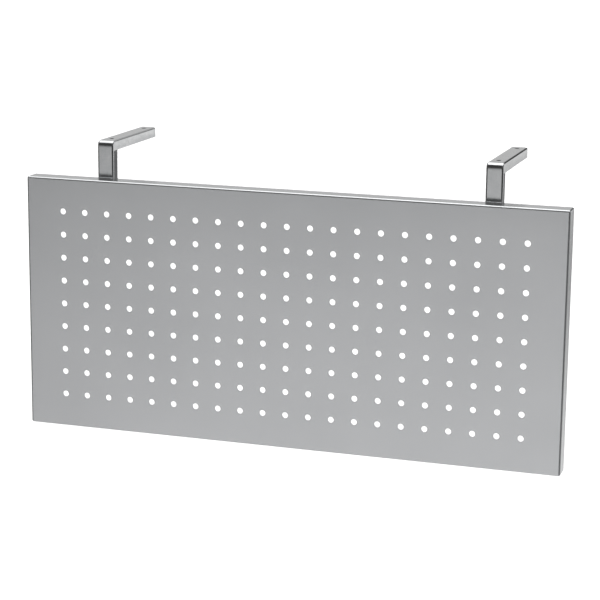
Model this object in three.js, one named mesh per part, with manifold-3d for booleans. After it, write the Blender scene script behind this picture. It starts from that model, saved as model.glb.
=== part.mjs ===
// A perforated sheet-metal modesty panel that hangs under a desk on two cast L brackets.
// Millimetres, +X along the panel, +Y towards its back, +Z up. The origin is on the underside of
// the desk top, in the middle of the four desk screws.

import * as THREE from 'three';
import { mergeVertices } from 'three/addons/utils/BufferGeometryUtils.js';
import Module from 'manifold-3d';

// Driving dimensions of the panel, one folded sheet with a lip along each edge of its open back
const panelWidth = 816;
const panelHeight = 380;
const panelDepth = 30; // front face to the back of the lips
const sheet = 1.5;
const bendRadius = 3; // outside radius of each fold
const topLip = 28;
const bottomLip = 16;
const sideLip = 16;
const holeDiameter = 9;
const holePitch = 35;
const holeToLip = 12.5; // least plain sheet between the top lip's edge and a hole's rim

// Driving dimensions of the brackets, thin-walled castings that are open underneath and at the back
const bracketSpan = 588; // between the two brackets' centre lines
const deskGap = 55; // underside of the desk top to the top of the panel
const barWidth = 25;
const legDepth = 20;
const armThickness = 15;
const armLength = 170; // front face of the leg to the end of the arm
const castingWall = 3;
const cornerRadius = 4; // outside corner where the leg turns into the arm
const edgeRadius = 2.5; // along both sides of the bar
const flankInset = 1.5; // the leg's sides are set in by this much below the arm
const frontRim = 3.5; // and leave this much of the leg's front at full width
const ribWall = 2;
const padThickness = 5; // front wall of the leg where it is screwed to the lip
const deskHole = 7;
const deskHoleInset = 25; // front face of the leg to the first desk hole
const deskHoleSpacing = 125;
const bossWall = 4;

// Driving dimensions of the fasteners
const screwDiameter = 5;
const screwClearance = 0.3; // on the radius, in every hole that a screw passes through
const nutHeight = 4;
const screwEnd = 1; // screw standing out of its nut
const seatGap = 0.3; // between pieces that rest on each other

// Derived fastener sizes
const screwHole = screwDiameter + 2 * screwClearance;
const washerDiameter = 2 * screwDiameter;
const washerThickness = 0.2 * screwDiameter;
const headDiameter = 1.9 * screwDiameter;
const headHeight = 0.7 * screwDiameter;
const nutDiameter = 1.8 * screwDiameter;
const screwSpacing = washerDiameter + 2;

// Derived places: the leg stands flat against the back of the top lip
const legFront = -(deskHoleInset + deskHoleSpacing / 2);
const panelFront = legFront - seatGap - panelDepth;
const panelTop = -deskGap;
const legBottom = panelTop - topLip;
const screwHeight = panelTop - (bendRadius + topLip) / 2;
const screwHeights = { upper: screwHeight + screwSpacing / 2, lower: screwHeight - screwSpacing / 2 };

const holeSides = 8;
const roundSides = 24;
const cut = 1; // how far a cutting shape runs past the face that it opens

const paintedSheet = new THREE.MeshStandardMaterial({ color: 0xa6a9ac, metalness: 0.85, roughness: 0.4 });
const satinChrome = new THREE.MeshStandardMaterial({ color: 0xc4c6c8, metalness: 1, roughness: 0.2 });
const zincPlate = new THREE.MeshStandardMaterial({ color: 0xb4b7b8, metalness: 1, roughness: 0.35 });

const wasm = await Module();
wasm.setup();

// A closed three.js geometry as a solid that can be joined and cut
function solid(geometry) {
  const bare = geometry.clone();
  bare.deleteAttribute('normal');
  bare.deleteAttribute('uv');
  const merged = mergeVertices(bare, 1e-4);
  return new wasm.Manifold(new wasm.Mesh({
    numProp: 3,
    vertProperties: new Float32Array(merged.attributes.position.array),
    triVerts: new Uint32Array(merged.index.array),
  }));
}

function block(x0, x1, y0, y1, z0, z1) {
  const box = new THREE.BoxGeometry(x1 - x0, y1 - y0, z1 - z0);
  return solid(box.translate((x0 + x1) / 2, (y0 + y1) / 2, (z0 + z1) / 2));
}

// A round bar along Y or Z, centred on a point
function rod(diameter, length, sides, axis, centre) {
  const bar = new THREE.CylinderGeometry(diameter / 2, diameter / 2, length, sides);
  if (axis === 'y') bar.rotateY(Math.PI / sides);
  if (axis === 'z') bar.rotateX(Math.PI / 2);
  return solid(bar.translate(...centre));
}

function named(name, shape, material) {
  const { vertProperties, triVerts } = shape.getMesh();
  const geometry = new THREE.BufferGeometry();
  geometry.setAttribute('position', new THREE.BufferAttribute(new Float32Array(vertProperties), 3));
  geometry.setIndex(new THREE.BufferAttribute(new Uint32Array(triVerts), 1));
  geometry.computeVertexNormals();
  const mesh = new THREE.Mesh(geometry, material);
  mesh.name = name;
  return mesh;
}

// A rectangle with round corners, centred on x = 0 and reaching from y = 0 to its depth
function roundedOutline(length, depth, radius) {
  const half = length / 2;
  const outline = new THREE.Shape();
  outline.absarc(half - radius, radius, radius, -Math.PI / 2, 0);
  outline.absarc(half - radius, depth - radius, radius, 0, Math.PI / 2);
  outline.absarc(radius - half, depth - radius, radius, Math.PI / 2, Math.PI);
  outline.absarc(radius - half, radius, radius, Math.PI, 1.5 * Math.PI);
  outline.closePath();
  return outline;
}

// A block from y = 0 to depth, centred in X and Z, whose edges along X and along Z are rounded
function foldedBlock(width, depth, height, radius) {
  const settings = { bevelEnabled: false, curveSegments: 2 };
  const plan = roundedOutline(width, depth, radius);
  const upright = new THREE.ExtrudeGeometry(plan, { ...settings, depth: height });
  upright.translate(0, 0, -height / 2);
  const section = roundedOutline(height, depth, radius);
  const lying = new THREE.ExtrudeGeometry(section, { ...settings, depth: width });
  lying.translate(0, 0, -width / 2).rotateY(Math.PI / 2);
  return solid(upright).intersect(solid(lying));
}

// The panel: a face of evenly spaced holes, four folded sides and a lip along each side's back edge
function makePanel() {
  const group = new THREE.Group();
  group.position.set(0, panelFront, panelTop - panelHeight / 2);

  const halfWidth = panelWidth / 2;
  const halfHeight = panelHeight / 2;
  const outside = foldedBlock(panelWidth, panelDepth, panelHeight, bendRadius);
  const inside = foldedBlock(
    panelWidth - 2 * sheet, panelDepth - 2 * sheet, panelHeight - 2 * sheet, bendRadius - sheet,
  ).translate([0, sheet, 0]);
  const opening = block(
    sideLip - halfWidth, halfWidth - sideLip, panelDepth / 2, panelDepth + cut,
    bottomLip - halfHeight, halfHeight - topLip,
  );
  let panel = outside.subtract(inside).subtract(opening);

  const margin = topLip + holeToLip + holeDiameter / 2;
  const columns = Math.floor((panelWidth - 2 * margin) / holePitch) + 1;
  const rows = Math.floor((panelHeight - 2 * margin) / holePitch) + 1;
  for (let column = 0; column < columns; column++) {
    for (let row = 0; row < rows; row++) {
      const x = (column - (columns - 1) / 2) * holePitch;
      const z = (row - (rows - 1) / 2) * holePitch;
      panel = panel.subtract(rod(holeDiameter, 4 * sheet, holeSides, 'y', [x, sheet / 2, z]));
    }
  }

  for (const side of [-1, 1]) {
    for (const height of Object.values(screwHeights)) {
      const centre = [side * bracketSpan / 2, panelDepth - sheet / 2, height - group.position.z];
      panel = panel.subtract(rod(screwHole, 4 * sheet, roundSides, 'y', centre));
    }
  }

  group.add(named('panel', panel, paintedSheet));
  return group;
}

// The outline of the bracket seen from its side: X runs back from the leg, Y runs up to the desk
function bracketOutline() {
  const outline = new THREE.Shape();
  outline.moveTo(0, legBottom);
  outline.lineTo(legDepth, legBottom);
  outline.lineTo(legDepth, -armThickness);
  outline.lineTo(armLength, -armThickness);
  outline.lineTo(armLength, 0);
  outline.lineTo(cornerRadius, 0);
  outline.absarc(cornerRadius, -cornerRadius, cornerRadius, Math.PI / 2, Math.PI);
  outline.closePath();
  return outline;
}

// One bracket, in the frame of its own leg: y = 0 on the leg's front face, z = 0 on the desk's underside
function makeBracket() {
  const edge = Math.min(edgeRadius, castingWall - 0.5, cornerRadius - 0.5);
  const bar = new THREE.ExtrudeGeometry(bracketOutline(), {
    depth: barWidth - 2 * edge,
    curveSegments: 3,
    bevelThickness: edge,
    bevelSize: edge,
    bevelOffset: -edge,
    bevelSegments: 3,
  });
  bar.translate(0, 0, edge - barWidth / 2).rotateY(Math.PI / 2).rotateX(Math.PI / 2);
  let bracket = solid(bar);
  const flank = barWidth / 2 - flankInset;
  for (const [x0, x1] of [[-barWidth, -flank], [flank, barWidth]]) {
    bracket = bracket.subtract(block(x0, x1, frontRim, legDepth + cut, legBottom - cut, -armThickness));
  }

  const armHollow = barWidth / 2 - castingWall;
  const legHollow = flank - castingWall;
  const padTop = panelTop;
  const armPocket = block(
    -armHollow, armHollow, legDepth, armLength - castingWall, -armThickness - cut, -castingWall,
  );
  const legPocket = block(-legHollow, legHollow, castingWall, legDepth + cut, padTop, -castingWall);
  const footPocket = block(
    -legHollow, legHollow, padThickness, legDepth + cut, legBottom - cut, padTop + cut,
  );
  bracket = bracket.subtract(armPocket).subtract(legPocket).subtract(footPocket);

  const deskHoles = [deskHoleInset, deskHoleInset + deskHoleSpacing];
  const bossHeight = armThickness - castingWall / 2;
  const bossDiameter = Math.min(deskHole + 2 * bossWall, barWidth - castingWall);
  for (const y of deskHoles) {
    const centre = [0, y, bossHeight / 2 - armThickness];
    bracket = bracket.add(rod(bossDiameter, bossHeight, roundSides, 'z', centre));
  }
  const ribPlaces = [1 / 3, 2 / 3].map((share) => deskHoleInset + share * deskHoleSpacing);
  for (const y of ribPlaces) {
    bracket = bracket.add(block(
      -armHollow - cut, armHollow + cut, y - ribWall / 2, y + ribWall / 2,
      cut - armThickness, -castingWall / 2,
    ));
  }
  for (const y of deskHoles) {
    const centre = [0, y, -armThickness / 2];
    bracket = bracket.subtract(rod(deskHole, 3 * armThickness, roundSides, 'z', centre));
  }

  const ribHeight = (padTop - armThickness) / 2;
  bracket = bracket.add(block(
    -legHollow - cut, legHollow + cut, castingWall / 2, legDepth - cut,
    ribHeight - ribWall / 2, ribHeight + ribWall / 2,
  ));
  for (const height of Object.values(screwHeights)) {
    const centre = [0, padThickness / 2, height];
    bracket = bracket.subtract(rod(screwHole, 4 * padThickness, roundSides, 'y', centre));
  }
  return bracket;
}

// A turned piece whose profile runs along the screw's axis, which points back along +Y
function turned(profile) {
  const points = profile.map(([radius, y]) => new THREE.Vector2(radius, y));
  return solid(new THREE.LatheGeometry(points, roundSides));
}

function makeScrew() {
  const headBase = padThickness + washerThickness + 2 * seatGap;
  const tip = -(2 * seatGap + sheet + nutHeight + screwEnd);
  const radius = screwDiameter / 2;
  const headRadius = headDiameter / 2;
  const point = 0.15 * screwDiameter;
  const crown = 0.35 * headHeight;
  return turned([
    [0, tip], [radius - point, tip], [radius, tip + point], [radius, headBase],
    [headRadius, headBase], [headRadius, headBase + headHeight - crown],
    [headRadius - crown, headBase + headHeight], [0, headBase + headHeight],
  ]);
}

function makeRing(diameter, base, height) {
  const outer = diameter / 2;
  const bore = screwHole / 2;
  return turned([[bore, base], [outer, base], [outer, base + height], [bore, base + height], [bore, base]]);
}

// One bracket with the screws, washers and pressed-in nuts that hold it to the panel's top lip
function makeHanger(side, x) {
  const group = new THREE.Group();
  group.position.set(x, legFront, 0);
  group.add(named(`${side}_bracket`, makeBracket(), satinChrome));
  for (const [level, height] of Object.entries(screwHeights)) {
    const set = new THREE.Group();
    set.position.z = height;
    const nutBase = -(2 * seatGap + sheet + nutHeight);
    set.add(named(`${side}_${level}_screw`, makeScrew(), zincPlate));
    const washer = makeRing(washerDiameter, padThickness + seatGap, washerThickness);
    set.add(named(`${side}_${level}_washer`, washer, zincPlate));
    set.add(named(`${side}_${level}_clinch_nut`, makeRing(nutDiameter, nutBase, nutHeight), zincPlate));
    group.add(set);
  }
  return group;
}

const modestyPanel = new THREE.Group();
modestyPanel.add(makePanel());
modestyPanel.add(makeHanger('left', -bracketSpan / 2));
modestyPanel.add(makeHanger('right', bracketSpan / 2));

export default modestyPanel;
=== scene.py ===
import math

import bmesh
import bpy
from mathutils import Matrix, Vector


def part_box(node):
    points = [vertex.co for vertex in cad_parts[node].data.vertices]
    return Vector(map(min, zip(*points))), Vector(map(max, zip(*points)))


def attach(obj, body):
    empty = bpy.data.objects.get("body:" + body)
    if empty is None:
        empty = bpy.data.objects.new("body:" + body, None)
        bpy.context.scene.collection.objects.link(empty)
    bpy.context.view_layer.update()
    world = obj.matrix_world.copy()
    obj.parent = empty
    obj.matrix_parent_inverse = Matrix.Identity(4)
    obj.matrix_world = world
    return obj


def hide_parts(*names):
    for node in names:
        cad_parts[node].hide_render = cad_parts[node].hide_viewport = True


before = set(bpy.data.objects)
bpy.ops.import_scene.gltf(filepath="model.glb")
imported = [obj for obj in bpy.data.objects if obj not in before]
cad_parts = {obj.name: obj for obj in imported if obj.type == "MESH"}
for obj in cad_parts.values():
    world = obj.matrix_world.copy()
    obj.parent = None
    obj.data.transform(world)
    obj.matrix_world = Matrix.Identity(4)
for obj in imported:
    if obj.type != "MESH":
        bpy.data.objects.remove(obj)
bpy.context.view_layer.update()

scene = bpy.context.scene


# ------------------------------------------------------------------------------------------ panel
# The panel is one sheet of 1.5 mm steel, punched with a square grid of round holes. All four sides
# are folded back and folded again into lips, and the whole is powder-coated in silver grey.

sheet = 0.0015
fold_radius = 0.003
fold_steps = 6
sharpest_unfolded = 80
hole_radius = 0.0045
hole_pitch = 0.035
hole_columns = 21
hole_rows = 9
hole_sides = 24
top_lip = 0.028
other_lips = 0.016
punched_edge = 0.00025
screw_hole_radius = 0.0028
weld = 0.00001

panel_low, panel_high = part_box("panel")
panel_middle = (panel_low + panel_high) / 2
upright = Matrix.Rotation(math.pi / 2, 4, "X")


def edges_of(verts):
    """The edges that run between the given vertices."""
    chosen = set(verts)
    return [e for e in {e for v in chosen for e in v.link_edges} if set(e.verts) <= chosen]


def new_verts(result):
    """The vertices that a bmesh operator made."""
    return [v for v in result["geom"] if isinstance(v, bmesh.types.BMVert)]


def refill(bm, faces, centres, radius, turn):
    """Fills a flat region again, in one piece, with a round hole left open at each centre."""
    region = set(faces)
    border = {e for f in region for e in f.edges if len(region & set(e.link_faces)) == 1}
    inner = {e for f in region for e in f.edges} - border
    normal = faces[0].normal.copy()
    bmesh.ops.delete(bm, geom=list(region), context="FACES_ONLY")
    bmesh.ops.delete(bm, geom=list(inner), context="EDGES")
    for centre in centres:
        place = Matrix.Translation(centre) @ turn
        circle = bmesh.ops.create_circle(bm, segments=hole_sides, radius=radius, matrix=place)
        border |= set(edges_of(circle["verts"]))
    bmesh.ops.triangle_fill(bm, use_beauty=True, edges=list(border), normal=normal)


def make_piece(name, bm, *materials):
    """One smooth-shaded object at the origin, with its place in its mesh."""
    mesh = bpy.data.meshes.new(name)
    for f in bm.faces:
        f.smooth = True
    bm.to_mesh(mesh)
    bm.free()
    for material in materials:
        mesh.materials.append(material)
    piece = bpy.data.objects.new(name, mesh)
    scene.collection.objects.link(piece)
    return piece


def soften(piece, width, segments, angle):
    """A small rounding on every edge sharper than the angle, with the flats kept flat."""
    bevel = piece.modifiers.new("broken edges", "BEVEL")
    bevel.width = width
    bevel.segments = segments
    bevel.limit_method = "ANGLE"
    bevel.angle_limit = math.radians(angle)
    bevel.use_clamp_overlap = False
    piece.modifiers.new("flat faces", "WEIGHTED_NORMAL").keep_sharp = True


def new_material(name):
    """A node material, its parts, and the function that adds a linked node to it."""
    material = bpy.data.materials.new(name)
    material.use_nodes = True
    tree = material.node_tree
    shader = tree.nodes["Principled BSDF"]
    place = tree.nodes.new("ShaderNodeTexCoord").outputs["Object"]

    def add(kind, settings, **sockets):
        node = tree.nodes.new(kind)
        for key, value in settings.items():
            setattr(node, key, value)
        for key, value in sockets.items():
            socket = node.inputs[key.replace("_", " ")]
            if isinstance(value, bpy.types.NodeSocket):
                tree.links.new(value, socket)
            else:
                socket.default_value = value
        return node

    return material, tree, shader, place, add


def grain(add, place, scale, detail, low, high):
    """Fine noise on the piece's own coordinates, spread over a range of values."""
    noise = add("ShaderNodeTexNoise", {}, Vector=place, Scale=scale, Detail=detail)
    spread = add("ShaderNodeMapRange", {}, Value=noise.outputs["Fac"], From_Min=0.3, From_Max=0.7,
                 To_Min=low, To_Max=high)
    return spread.outputs["Result"]


def tinted(add, factor, dark, light):
    """A colour between two tones of one finish."""
    mix = add("ShaderNodeMix", {"data_type": "RGBA"})
    tree = mix.id_data
    tree.links.new(factor, mix.inputs["Factor"])
    mix.inputs["A"].default_value = (*dark, 1)
    mix.inputs["B"].default_value = (*light, 1)
    return next(s for s in mix.outputs if s.type == "RGBA")


def roughen(tree, shader, add, height, strength, distance):
    """A fine relief on the surface."""
    bump = add("ShaderNodeBump", {}, Height=height, Strength=strength, Distance=distance)
    tree.links.new(bump.outputs["Normal"], shader.inputs["Normal"])


silver_coat, tree, shader, place, add = new_material("silver powder coat")
shader.inputs["Metallic"].default_value = 0.85
shader.inputs["Coat Weight"].default_value = 0.08
shader.inputs["Coat Roughness"].default_value = 0.25
cloud = grain(add, place, scale=7.0, detail=3.0, low=0.2, high=0.8)
flake = grain(add, place, scale=2600.0, detail=2.0, low=0.0, high=1.0)
flake_share = 0.12
blend = add("ShaderNodeMath", {"operation": "MULTIPLY_ADD"})
blend.inputs[1].default_value = flake_share
tree.links.new(flake, blend.inputs[0])
tree.links.new(cloud, blend.inputs[2])
coat_colour = tinted(add, blend.outputs[0], dark=(0.425, 0.432, 0.44), light=(0.465, 0.472, 0.48))
tree.links.new(coat_colour, shader.inputs["Base Color"])
coat_roughness = grain(add, place, scale=1400.0, detail=2.0, low=0.195, high=0.225)
tree.links.new(coat_roughness, shader.inputs["Roughness"])
peel = grain(add, place, scale=420.0, detail=2.0, low=0.0, high=1.0)
roughen(tree, shader, add, peel, strength=0.03, distance=0.00008)

bm = bmesh.new()
bmesh.ops.create_circle(bm, segments=hole_sides, radius=hole_radius, matrix=upright)
turned_square = upright @ Matrix.Rotation(math.pi / 4, 4, "Z")
square = bmesh.ops.create_circle(bm, segments=4, radius=hole_pitch / math.sqrt(2),
                                 matrix=turned_square)
bmesh.ops.subdivide_edges(bm, edges=edges_of(square["verts"]), cuts=hole_sides // 4 - 1)
bmesh.ops.bridge_loops(bm, edges=bm.edges[:])
along_row = Vector((hole_pitch, 0, 0))
up_column = Vector((0, 0, hole_pitch))
for step, count in ((along_row, hole_columns), (up_column, hole_rows)):
    first = bm.verts[:] + bm.edges[:] + bm.faces[:]
    for number in range(1, count):
        copy = bmesh.ops.duplicate(bm, geom=first)
        bmesh.ops.translate(bm, verts=new_verts(copy), vec=step * number)
bmesh.ops.remove_doubles(bm, verts=bm.verts[:], dist=weld)

grid_half = Vector((hole_pitch * hole_columns / 2, 0, hole_pitch * hole_rows / 2))
grid_corner = Vector((panel_middle.x, panel_low.y, panel_middle.z)) - grid_half
first_hole = grid_corner + Vector((hole_pitch / 2, 0, hole_pitch / 2))
bmesh.ops.translate(bm, verts=bm.verts[:], vec=first_hole)


def spread_rim(bm, low, high, new_low, new_high):
    """Extrudes the outline that lies on one rectangle and moves it out to another."""
    def on_rim(co):
        return (min(abs(co.x - low.x), abs(co.x - high.x)) < weld
                or min(abs(co.z - low.z), abs(co.z - high.z)) < weld)
    rim = [e for e in bm.edges if e.is_boundary and all(on_rim(v.co) for v in e.verts)]
    for v in new_verts(bmesh.ops.extrude_edge_only(bm, edges=rim)):
        for axis in (0, 2):
            if abs(v.co[axis] - low[axis]) < weld:
                v.co[axis] = new_low[axis]
            elif abs(v.co[axis] - high[axis]) < weld:
                v.co[axis] = new_high[axis]
        v.co.y = new_low.y


face_high = Vector((panel_high.x, panel_low.y, panel_high.z))
back_low = Vector((panel_low.x, panel_high.y, panel_low.z))
lip_low = Vector((panel_low.x + other_lips, panel_high.y, panel_low.z + other_lips))
lip_high = Vector((panel_high.x - other_lips, panel_high.y, panel_high.z - top_lip))
spread_rim(bm, grid_corner, grid_corner + 2 * grid_half, panel_low, face_high)
spread_rim(bm, panel_low, panel_high, back_low, panel_high)
spread_rim(bm, panel_low, panel_high, lip_low, lip_high)
bmesh.ops.recalc_face_normals(bm, faces=bm.faces[:])
folds = [e for e in bm.edges
         if len(e.link_faces) == 2 and e.calc_face_angle() > math.radians(sharpest_unfolded)]
bmesh.ops.bevel(bm, geom=folds, offset=fold_radius, offset_type="OFFSET", segments=fold_steps,
                profile=0.5, affect="EDGES", clamp_overlap=False, material=-1)
lips = [f for f in bm.faces if all(abs(v.co.y - panel_high.y) < weld for v in f.verts)]
screw_places = []
for side in ("left", "right"):
    for level in ("upper", "lower"):
        low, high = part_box(f"{side}_{level}_screw")
        centre = (low + high) / 2
        screw_places.append(Vector((centre.x, panel_high.y, centre.z)))
refill(bm, lips, screw_places, screw_hole_radius, upright)
bmesh.ops.recalc_face_normals(bm, faces=bm.faces[:])
front_face = min(bm.faces, key=lambda f: f.calc_center_median().y)
if front_face.normal.y > 0:
    bmesh.ops.reverse_faces(bm, faces=bm.faces[:])

panel = make_piece("panel_folded_sheet", bm, silver_coat)
thickness = panel.modifiers.new("sheet thickness", "SOLIDIFY")
thickness.thickness = sheet
thickness.offset = -1
thickness.use_even_offset = True
soften(panel, punched_edge, segments=2, angle=50)
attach(panel, "root")
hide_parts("panel")


# --------------------------------------------------------------------------------------- brackets
# Each bracket is a thin-walled zinc casting, an L that is open underneath and at the back. It is
# satin chrome outside and dull inside, with dark flanks on its leg and a boss round each of its two
# desk screw holes. The panel's top lip is screwed to a thick pad at the leg's foot.

leg_depth = 0.020
arm_thickness = 0.015
casting_wall = 0.0028
corner_reach = 0.011
corner_profile = 0.66
corner_steps = 12
side_radius = 0.003
side_steps = 5
end_radius = 0.0045
end_steps = 6
lower_radius = 0.0008
lower_steps = 2
front_rim = 0.0035
flank_inset = 0.0015
pad_depth = 0.005
pad_height = 0.028
desk_hole_radius = 0.0035
desk_hole_inset = 0.025
desk_hole_spacing = 0.125
boss_radius = 0.0075
rib_wall = 0.002
overlap = 0.001
pocket_radius = 0.0012
pocket_steps = 3
squarely = 0.99
slightly = 0.01
sharpest_smooth = 35

satin_chrome, tree, shader, place, add = new_material("satin chrome")
shader.inputs["Metallic"].default_value = 1.0
chrome_cloud = grain(add, place, scale=60.0, detail=3.0, low=0.0, high=1.0)
chrome_colour = tinted(add, chrome_cloud, dark=(0.45, 0.46, 0.465), light=(0.50, 0.505, 0.51))
tree.links.new(chrome_colour, shader.inputs["Base Color"])
stretch = add("ShaderNodeMapping", {}, Vector=place, Scale=(1.0, 0.06, 0.06)).outputs["Vector"]
brushing = grain(add, stretch, scale=3000.0, detail=3.0, low=0.12, high=0.22)
tree.links.new(brushing, shader.inputs["Roughness"])
waves = grain(add, place, scale=160.0, detail=2.0, low=0.0, high=1.0)
roughen(tree, shader, add, waves, strength=0.12, distance=0.0001)

# Near-black colour on the leg's recessed flanks, and painted shade on the walls of the desk bores
dark_flank_and_bore_shade, tree, shader, place, add = new_material("dark flank and bore shade")
shader.inputs["Metallic"].default_value = 0.7
flank_and_bore_cloud = grain(add, place, scale=220.0, detail=4.0, low=0.0, high=1.0)
dark_flank_and_bore_colour = tinted(add, flank_and_bore_cloud, dark=(0.08, 0.083, 0.086), light=(0.14, 0.144, 0.147))
tree.links.new(dark_flank_and_bore_colour, shader.inputs["Base Color"])
flank_and_bore_roughness = grain(add, place, scale=900.0, detail=3.0, low=0.38, high=0.55)
tree.links.new(flank_and_bore_roughness, shader.inputs["Roughness"])
pitting = grain(add, place, scale=1300.0, detail=3.0, low=0.0, high=1.0)
roughen(tree, shader, add, pitting, strength=0.35, distance=0.0001)

dull_plate, tree, shader, place, add = new_material("dull plated zinc")
shader.inputs["Metallic"].default_value = 0.8
plate_cloud = grain(add, place, scale=180.0, detail=4.0, low=0.0, high=1.0)
plate_colour = tinted(add, plate_cloud, dark=(0.34, 0.345, 0.35), light=(0.44, 0.445, 0.45))
tree.links.new(plate_colour, shader.inputs["Base Color"])
plate_roughness = grain(add, place, scale=900.0, detail=3.0, low=0.35, high=0.5)
tree.links.new(plate_roughness, shader.inputs["Roughness"])
pitting = grain(add, place, scale=1300.0, detail=3.0, low=0.0, high=1.0)
roughen(tree, shader, add, pitting, strength=0.3, distance=0.0001)
bracket_finishes = (satin_chrome, dark_flank_and_bore_shade, dull_plate)


def turn_profile(bm, profile, centre, axis, closed=False, steps=24):
    """Spins a profile of (radius, place along the axis) points once round an axis."""
    out = Vector((1, 0, 0))
    verts = [bm.verts.new(centre + radius * out + along * axis) for radius, along in profile]
    edges = [bm.edges.new(pair) for pair in zip(verts, verts[1:])]
    if closed:
        edges.append(bm.edges.new((verts[-1], verts[0])))
    bmesh.ops.spin(bm, geom=verts + edges, cent=centre, axis=axis, angle=2 * math.pi, steps=steps,
                   use_merge=True)
    bmesh.ops.remove_doubles(bm, verts=bm.verts[:], dist=weld)


def round_edges(bm, edges, radius, segments, profile=0.5):
    """A rounding of one radius along the given edges."""
    bmesh.ops.bevel(bm, geom=edges, offset=radius, offset_type="OFFSET", segments=segments,
                    profile=profile, affect="EDGES", clamp_overlap=False, material=-1)


def block_tool(x, y, z, rounding=0):
    """A block between three pairs of limits, with its edges rounded or sharp."""
    low, high = (Vector(corner) for corner in zip(x, y, z))
    place = Matrix.Translation((low + high) / 2) @ Matrix.Diagonal((*(high - low), 1))
    bm = bmesh.new()
    bmesh.ops.create_cube(bm, size=1, matrix=place)
    if rounding:
        round_edges(bm, bm.edges[:], rounding, pocket_steps)
    return bm


def round_tool(profile, base, axis):
    """A turned bar with its profile in (radius, place along the axis) points."""
    bm = bmesh.new()
    turn_profile(bm, profile, base, axis)
    return bm


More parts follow.
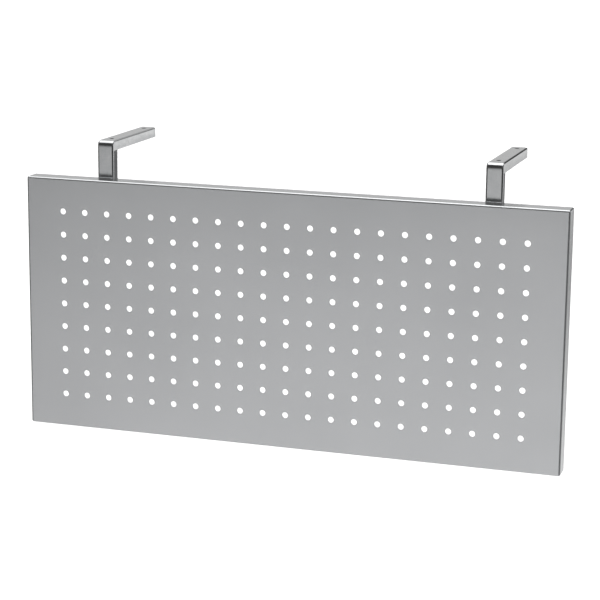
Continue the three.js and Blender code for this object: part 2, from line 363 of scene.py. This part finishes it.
upwards = Vector((0, 0, 1))
backwards = Vector((0, 1, 0))
for side in ("left", "right"):
    low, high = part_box(f"{side}_bracket")
    middle = (low.x + high.x) / 2
    front, back, foot, top = low.y, high.y, low.z, high.z
    leg_back = front + leg_depth
    under = top - arm_thickness

    bm = bmesh.new()
    outline = ((front, foot), (leg_back, foot), (leg_back, under), (back, under), (back, top),
               (front, top))
    profile = bm.faces.new([bm.verts.new((low.x, y, z)) for y, z in outline])
    across = bmesh.ops.extrude_face_region(bm, geom=[profile])
    bmesh.ops.translate(bm, verts=new_verts(across), vec=(high.x - low.x, 0, 0))
    bmesh.ops.recalc_face_normals(bm, faces=bm.faces[:])

    def runs_through(e, y=None, z=None):
        """True if both ends of an edge are at the given depth and height."""
        return all((y is None or abs(v.co.y - y) < weld) and (z is None or abs(v.co.z - z) < weld)
                   for v in e.verts)

    def is_upright(e):
        return abs(e.verts[0].co.z - e.verts[1].co.z) > arm_thickness / 2

    def outer_side(e):
        """True on the edges between a flank and the top, the front or the rounded end."""
        flat = [f for f in e.link_faces if abs(f.normal.x) > squarely]
        curved = [f for f in e.link_faces if abs(f.normal.x) < squarely]
        return (len(flat) == 1 and len(curved) == 1
                and (curved[0].normal.z > slightly or curved[0].normal.y < -slightly))

    def over_the_end(e):
        """True on the edges between the top and the arm's rounded end."""
        rises = sorted(f.normal.z for f in e.link_faces)
        return len(rises) == 2 and rises[0] < slightly and rises[1] > squarely

    def lower_side(e):
        """True round the arm's underside, save the last short step to either side of its end."""
        return (runs_through(e, z=under) and max(v.co.y for v in e.verts) > leg_back + weld
                and (runs_through(e, y=back) or max(f.normal.y for f in e.link_faces) < squarely))

    top_corner = [e for e in bm.edges if runs_through(e, front, top)]
    round_edges(bm, top_corner, corner_reach, corner_steps, corner_profile)
    upright_ends = [e for e in bm.edges if runs_through(e, y=back) and is_upright(e)]
    round_edges(bm, upright_ends, end_radius, end_steps)
    top_rim = [e for e in bm.edges if outer_side(e)]
    top_rim += [e for e in bm.edges if e not in top_rim and over_the_end(e)]
    round_edges(bm, top_rim, side_radius, side_steps)
    lower_rim = [e for e in bm.edges if lower_side(e)]
    round_edges(bm, lower_rim, lower_radius, lower_steps)
    blank = make_piece(f"{side}_blank", bm, *bracket_finishes)

    half = (high.x - low.x) / 2
    leg_half = half - flank_inset
    inside = casting_wall - overlap
    arm_pocket = (middle - half + casting_wall, middle + half - casting_wall)
    leg_pocket = (middle - leg_half + casting_wall, middle + leg_half - casting_wall)
    arm_rib = (arm_pocket[0] - overlap, arm_pocket[1] + overlap)
    leg_rib = (leg_pocket[0] - overlap, leg_pocket[1] + overlap)
    leg_rib_height = (foot + pad_height + under) / 2
    left_flank = (middle - 2 * half, middle - leg_half)
    right_flank = (middle + leg_half, middle + 2 * half)
    flank_depth = (front + front_rim, leg_back + half)
    tools = []
    # The leg's flanks are cut in and coloured near-black
    for flank in (left_flank, right_flank):
        tools.append(("DIFFERENCE", dark_flank_and_bore_shade,
                      block_tool(flank, flank_depth, (foot - half, under), pocket_radius)))
    tools.append(("DIFFERENCE", dull_plate,
                  block_tool(arm_pocket, (leg_back, back - casting_wall),
                             (under - half, top - casting_wall), pocket_radius)))
    tools.append(("DIFFERENCE", dull_plate,
                  block_tool(leg_pocket, (front + casting_wall, leg_back + half),
                             (foot + pad_height, top - casting_wall), pocket_radius)))
    tools.append(("DIFFERENCE", dull_plate,
                  block_tool(leg_pocket, (front + pad_depth, leg_back + half),
                             (foot - half, foot + pad_height + 2 * pocket_radius),
                             pocket_radius)))
    for place in (0, 1):
        y = front + desk_hole_inset + place * desk_hole_spacing
        boss_height = arm_thickness - inside
        boss = ((0, 0), (boss_radius - lower_radius, 0), (boss_radius, lower_radius),
                (boss_radius, boss_height), (0, boss_height))
        tools.append(("UNION", dull_plate, round_tool(boss, Vector((middle, y, under)), upwards)))
        y = front + desk_hole_inset + (1 + place) * desk_hole_spacing / 3
        tools.append(("UNION", dull_plate,
                      block_tool(arm_rib, (y - rib_wall / 2, y + rib_wall / 2),
                                 (under + overlap, top - inside))))
    tools.append(("UNION", dull_plate,
                  block_tool(leg_rib, (front + inside, leg_back - overlap),
                             (leg_rib_height - rib_wall / 2, leg_rib_height + rib_wall / 2))))
    for place in (0, 1):
        y = front + desk_hole_inset + place * desk_hole_spacing
        reach = 2 * half + arm_thickness
        bore = ((0, 0), (desk_hole_radius, 0), (desk_hole_radius, reach), (0, reach))
        # The desk bores' walls are coloured near-black: painted shade inside the holes
        tools.append(("DIFFERENCE", dark_flank_and_bore_shade,
                      round_tool(bore, Vector((middle, y, under - half)), upwards)))
        reach = 2 * half
        bore = ((0, 0), (screw_hole_radius, 0), (screw_hole_radius, reach), (0, reach))
        base = Vector((middle, front - half, screw_places[place].z))
        tools.append(("DIFFERENCE", dull_plate, round_tool(bore, base, backwards)))

    shapes = [blank]
    for operation, finish, bm in tools:
        bmesh.ops.recalc_face_normals(bm, faces=bm.faces[:])
        for f in bm.faces:
            f.material_index = bracket_finishes.index(finish)
        shapes.append(make_piece(f"{side}_tool", bm, *bracket_finishes))
        work = blank.modifiers.new(operation, "BOOLEAN")
        work.operation = operation
        work.solver = "EXACT"
        work.object = shapes[-1]
    bm = bmesh.new()
    bm.from_object(blank, bpy.context.evaluated_depsgraph_get())
    for shape in shapes:
        bpy.data.objects.remove(shape)
    bmesh.ops.remove_doubles(bm, verts=bm.verts[:], dist=weld)
    # The solver can drop a triangle of a bore's wall; its patch gets the bore's near-black painted
    # shade
    open_edges = [e for e in bm.edges if e.is_boundary]
    for f in bmesh.ops.holes_fill(bm, edges=open_edges, sides=4)["faces"]:
        f.material_index = bracket_finishes.index(dark_flank_and_bore_shade)
    bmesh.ops.recalc_face_normals(bm, faces=bm.faces[:])
    for e in bm.edges:
        e.smooth = (len(e.link_faces) == 2
                    and e.calc_face_angle() < math.radians(sharpest_smooth))
    bracket = make_piece(f"{side}_bracket_casting", bm, *bracket_finishes)
    bracket.modifiers.new("flat faces", "WEIGHTED_NORMAL").keep_sharp = True
    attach(bracket, "root")
    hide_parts(f"{side}_bracket")


# -------------------------------------------------------------------------------------- fasteners
# M5 machine screws with washers hold each bracket to the panel's top lip. They pass through the lip
# into clinch nuts that are pressed into its inner side. All are turned or headed zinc-plated steel.

socket_flats = 0.003
socket_depth = 0.0018
socket_mouth = 0.0021
head_height = 0.0035
head_crown = 0.0009
shank_radius = 0.0025
thread_root = 0.0021
thread_pitch = 0.0008
screw_point = 0.0008
head_rounding = 0.0001
sharpest_in_screw = 40
chamfer = 0.00015
nut_bore_chamfer = 0.0004
nut_groove_depth = 0.0003
nut_groove = (0.5, 0.6, 0.75, 0.8)
ring_rounding = 0.00005
ring_sides = 36

bright_zinc, tree, shader, place, add = new_material("bright zinc plate")
shader.inputs["Metallic"].default_value = 1.0
zinc_cloud = grain(add, place, scale=500.0, detail=3.0, low=0.0, high=1.0)
zinc_colour = tinted(add, zinc_cloud, dark=(0.52, 0.53, 0.52), light=(0.66, 0.67, 0.665))
tree.links.new(zinc_colour, shader.inputs["Base Color"])
zinc_roughness = grain(add, place, scale=1800.0, detail=2.0, low=0.2, high=0.34)
tree.links.new(zinc_roughness, shader.inputs["Roughness"])
scratches = grain(add, place, scale=2400.0, detail=2.0, low=0.0, high=1.0)
roughen(tree, shader, add, scratches, strength=0.15, distance=0.00005)

for side in ("left", "right"):
    for level in ("upper", "lower"):
        node = f"{side}_{level}_screw"
        low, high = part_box(node)
        head_radius = (high.x - low.x) / 2
        length = high.y - low.y
        head_base = length - head_height
        profile = [(0, 0), (shank_radius - screw_point, 0)]
        ridge = screw_point
        while ridge < head_base - 2 * thread_pitch:
            profile += [(thread_root, ridge), (shank_radius, ridge + thread_pitch / 2)]
            ridge += thread_pitch
        profile += [(thread_root, ridge), (thread_root, head_base),
                    (head_radius - chamfer, head_base), (head_radius, head_base + chamfer)]
        profile += [(head_radius - inwards * head_crown, length - below * head_crown)
                    for inwards, below in ((0, 2), (0.3, 0.9), (1, 0.3), (2, 0))]
        profile.append((socket_mouth, length))
        tip = Vector(((low.x + high.x) / 2, low.y, (low.z + high.z) / 2))
        bm = bmesh.new()
        turn_profile(bm, profile, tip, backwards)
        mouth = [e for e in bm.edges
                 if e.is_boundary and all(v.co.y > high.y - weld for v in e.verts)]
        hexagon = new_verts(bmesh.ops.extrude_edge_only(bm, edges=mouth))
        for v in hexagon:
            spoke = v.co - tip
            past_corner = math.atan2(spoke.z, spoke.x) % (math.pi / 3) - math.pi / 6
            reach = socket_flats / 2 / math.cos(past_corner) / spoke.xz.length
            v.co.x = tip.x + spoke.x * reach
            v.co.z = tip.z + spoke.z * reach
        socket_floor = new_verts(bmesh.ops.extrude_edge_only(bm, edges=edges_of(hexagon)))
        bmesh.ops.translate(bm, verts=socket_floor, vec=-socket_depth * backwards)
        bmesh.ops.contextual_create(bm, geom=edges_of(socket_floor))
        bmesh.ops.recalc_face_normals(bm, faces=bm.faces[:])
        screw = make_piece(f"{node}_socket_head", bm, bright_zinc)
        soften(screw, head_rounding, segments=2, angle=sharpest_in_screw)
        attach(screw, "root")
        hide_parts(node)

        for kind in ("washer", "clinch_nut"):
            node = f"{side}_{level}_{kind}"
            low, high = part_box(node)
            rim = (high.x - low.x) / 2
            height = high.y - low.y
            bore_chamfer = chamfer if kind == "washer" else nut_bore_chamfer
            ring = [(screw_hole_radius, bore_chamfer), (screw_hole_radius + bore_chamfer, 0),
                    (rim - chamfer, 0), (rim, chamfer)]
            if kind == "clinch_nut":
                depths = (0, nut_groove_depth, nut_groove_depth, 0)
                ring += [(rim - depth, share * height) for share, depth in zip(nut_groove, depths)]
            ring += [(rim, height - chamfer), (rim - chamfer, height),
                     (screw_hole_radius + bore_chamfer, height),
                     (screw_hole_radius, height - bore_chamfer)]
            base = Vector(((low.x + high.x) / 2, low.y, (low.z + high.z) / 2))
            bm = bmesh.new()
            turn_profile(bm, ring, base, backwards, closed=True, steps=ring_sides)
            bmesh.ops.recalc_face_normals(bm, faces=bm.faces[:])
            piece = make_piece(f"{node}_ring", bm, bright_zinc)
            soften(piece, ring_rounding, segments=1, angle=sharpest_in_screw)
            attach(piece, "root")
            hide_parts(node)


# ------------------------------------------------------------------------------------------ floor
# A plain pale floor, as far below the desk top as a room's floor. It carries nothing: the panel
# hangs from the desk. It is left out of the panel's reflections, which see the studio instead.

floor_drop = 0.72
floor_reach = 40.0

floor_paint, tree, shader, place, add = new_material("pale floor")
shader.inputs["Base Color"].default_value = (0.93, 0.93, 0.93, 1)
shader.inputs["Roughness"].default_value = 0.9
shader.inputs["Specular IOR Level"].default_value = 0.1
bm = bmesh.new()
bmesh.ops.create_grid(bm, x_segments=1, y_segments=1, size=floor_reach,
                      matrix=Matrix.Translation((0, 0, -floor_drop)))
floor = make_piece("floor", bm, floor_paint)
floor.visible_glossy = False


# ------------------------------------------------------------------------------------------ light
# A studio with a bright ceiling and pale floor, and dark screens at and above the horizon. The
# screens give the metal its dark edges. The camera itself sees plain white behind the panel.

brightest = 3.2

world = bpy.data.worlds.new("studio")
scene.world = world
world.use_nodes = True
sky = world.node_tree
sky.nodes.clear()
direction = sky.nodes.new("ShaderNodeTexCoord").outputs["Generated"]
direction_parts = sky.nodes.new("ShaderNodeSeparateXYZ")
sky.links.new(direction, direction_parts.inputs[0])
levelled = sky.nodes.new("ShaderNodeCombineXYZ")
sky.links.new(direction_parts.outputs["X"], levelled.inputs["X"])
sky.links.new(direction_parts.outputs["Y"], levelled.inputs["Y"])
bearing = sky.nodes.new("ShaderNodeVectorMath")
bearing.operation = "NORMALIZE"
sky.links.new(levelled.outputs[0], bearing.inputs[0])
height = sky.nodes.new("ShaderNodeMapRange")
height.inputs["From Min"].default_value = -1
sky.links.new(direction_parts.outputs["Z"], height.inputs["Value"])


def band(*stops):
    """Brightness by elevation: pairs of degrees above the horizon and brightness."""
    ramp = sky.nodes.new("ShaderNodeValToRGB")
    elements = ramp.color_ramp.elements
    for number, (elevation, brightness) in enumerate(stops):
        spot = (1 + math.sin(math.radians(elevation))) / 2
        element = elements[number] if number < 2 else elements.new(spot)
        element.position = spot
        tone = brightness / brightest
        element.color = (tone, tone, tone, 1)
    sky.links.new(height.outputs[0], ramp.inputs["Fac"])
    return ramp.outputs["Color"]


def toward(compass, first, last):
    """0 to 1 as the bearing nears a compass point, between two angles from it; 0 is the back."""
    point = math.radians(compass)
    facing = sky.nodes.new("ShaderNodeVectorMath")
    facing.operation = "DOT_PRODUCT"
    facing.inputs[1].default_value = (math.sin(point), math.cos(point), 0)
    sky.links.new(bearing.outputs[0], facing.inputs[0])
    turn = sky.nodes.new("ShaderNodeMapRange")
    turn.interpolation_type = "SMOOTHSTEP"
    turn.inputs["From Min"].default_value = math.cos(math.radians(first))
    turn.inputs["From Max"].default_value = math.cos(math.radians(last))
    sky.links.new(facing.outputs["Value"], turn.inputs["Value"])
    return turn.outputs[0]


def over(under, upper, factor):
    """One brightness laid over another where the factor is 1."""
    mix = sky.nodes.new("ShaderNodeMix")
    mix.data_type = "RGBA"
    colours = [s for s in mix.inputs if s.type == "RGBA"]
    sky.links.new(factor, mix.inputs["Factor"])
    sky.links.new(under, colours[0])
    sky.links.new(upper, colours[1])
    return next(s for s in mix.outputs if s.type == "RGBA")


# The first two stops of each band are its ends, straight down and straight up
front_band = band((-90, 1.0), (90, 3.2), (-30, 1.2), (-17, 1.16), (-12, 0.98), (-8, 0.78),
                  (-3, 0.38), (1, 0.08), (40, 0.06), (53, 0.3), (60, 2.3))
side_band = band((-90, 0.9), (90, 3.2), (-45, 0.6), (-24, 0.4), (-18, 0.2), (-14, 0.08),
                 (-4, 0.05), (4, 0.15), (38, 0.2), (58, 2.2))
back_band = band((-90, 0.6), (90, 3.2), (-24, 1.1), (-19, 1.05), (-15, 0.75), (-12, 0.42),
                 (-9.5, 0.5), (-8, 1.25), (-4, 1.35), (-1, 1.1), (2, 0.72), (12, 0.6), (32, 0.65),
                 (50, 2.0))
screen_band = band((-90, 0.6), (90, 3.2), (-24, 1.1), (-19, 1.05), (-15, 0.75), (-12, 0.42),
                   (-9.5, 0.5), (-8, 0.95), (-1, 0.85), (2, 0.04), (17, 0.04), (20, 0.6),
                   (32, 0.65), (50, 2.0))
studio = over(side_band, front_band, toward(191, first=30, last=7))
studio = over(studio, back_band, toward(14, first=72, last=42))
studio = over(studio, screen_band, toward(9, first=12, last=8))
lit = sky.nodes.new("ShaderNodeBackground")
lit.inputs["Strength"].default_value = brightest
sky.links.new(studio, lit.inputs["Color"])
plain = sky.nodes.new("ShaderNodeBackground")
plain.inputs["Color"].default_value = (1, 1, 1, 1)
seen = sky.nodes.new("ShaderNodeLightPath")
choice = sky.nodes.new("ShaderNodeMixShader")
sky.links.new(seen.outputs["Is Camera Ray"], choice.inputs["Fac"])
sky.links.new(lit.outputs[0], choice.inputs[1])
sky.links.new(plain.outputs[0], choice.inputs[2])
output = sky.nodes.new("ShaderNodeOutputWorld")
sky.links.new(choice.outputs[0], output.inputs["Surface"])
scene.view_settings.view_transform = "Standard"


# ----------------------------------------------------------------------------------------- camera
# The camera looks down on the panel from the front, a little to its right.

camera_turn = math.radians(17.84)
camera_tilt = math.radians(12.61)
camera_roll = math.radians(0.6)
camera_distance = 2.811
focal_length = 117.1
sensor_width = 36
aim = panel_middle + Vector((0.0213, -0.015, 0.0346))

away = Vector((math.sin(camera_turn) * math.cos(camera_tilt),
               -math.cos(camera_turn) * math.cos(camera_tilt), math.sin(camera_tilt)))
lens = bpy.data.cameras.new("camera")
lens.lens = focal_length
lens.sensor_width = sensor_width
camera = bpy.data.objects.new("camera", lens)
scene.collection.objects.link(camera)
facing = away.to_track_quat("Z", "Y").to_matrix().to_4x4()
camera.matrix_world = (Matrix.Translation(aim + camera_distance * away) @ facing
                       @ Matrix.Rotation(camera_roll, 4, "Z"))
scene.camera = camera
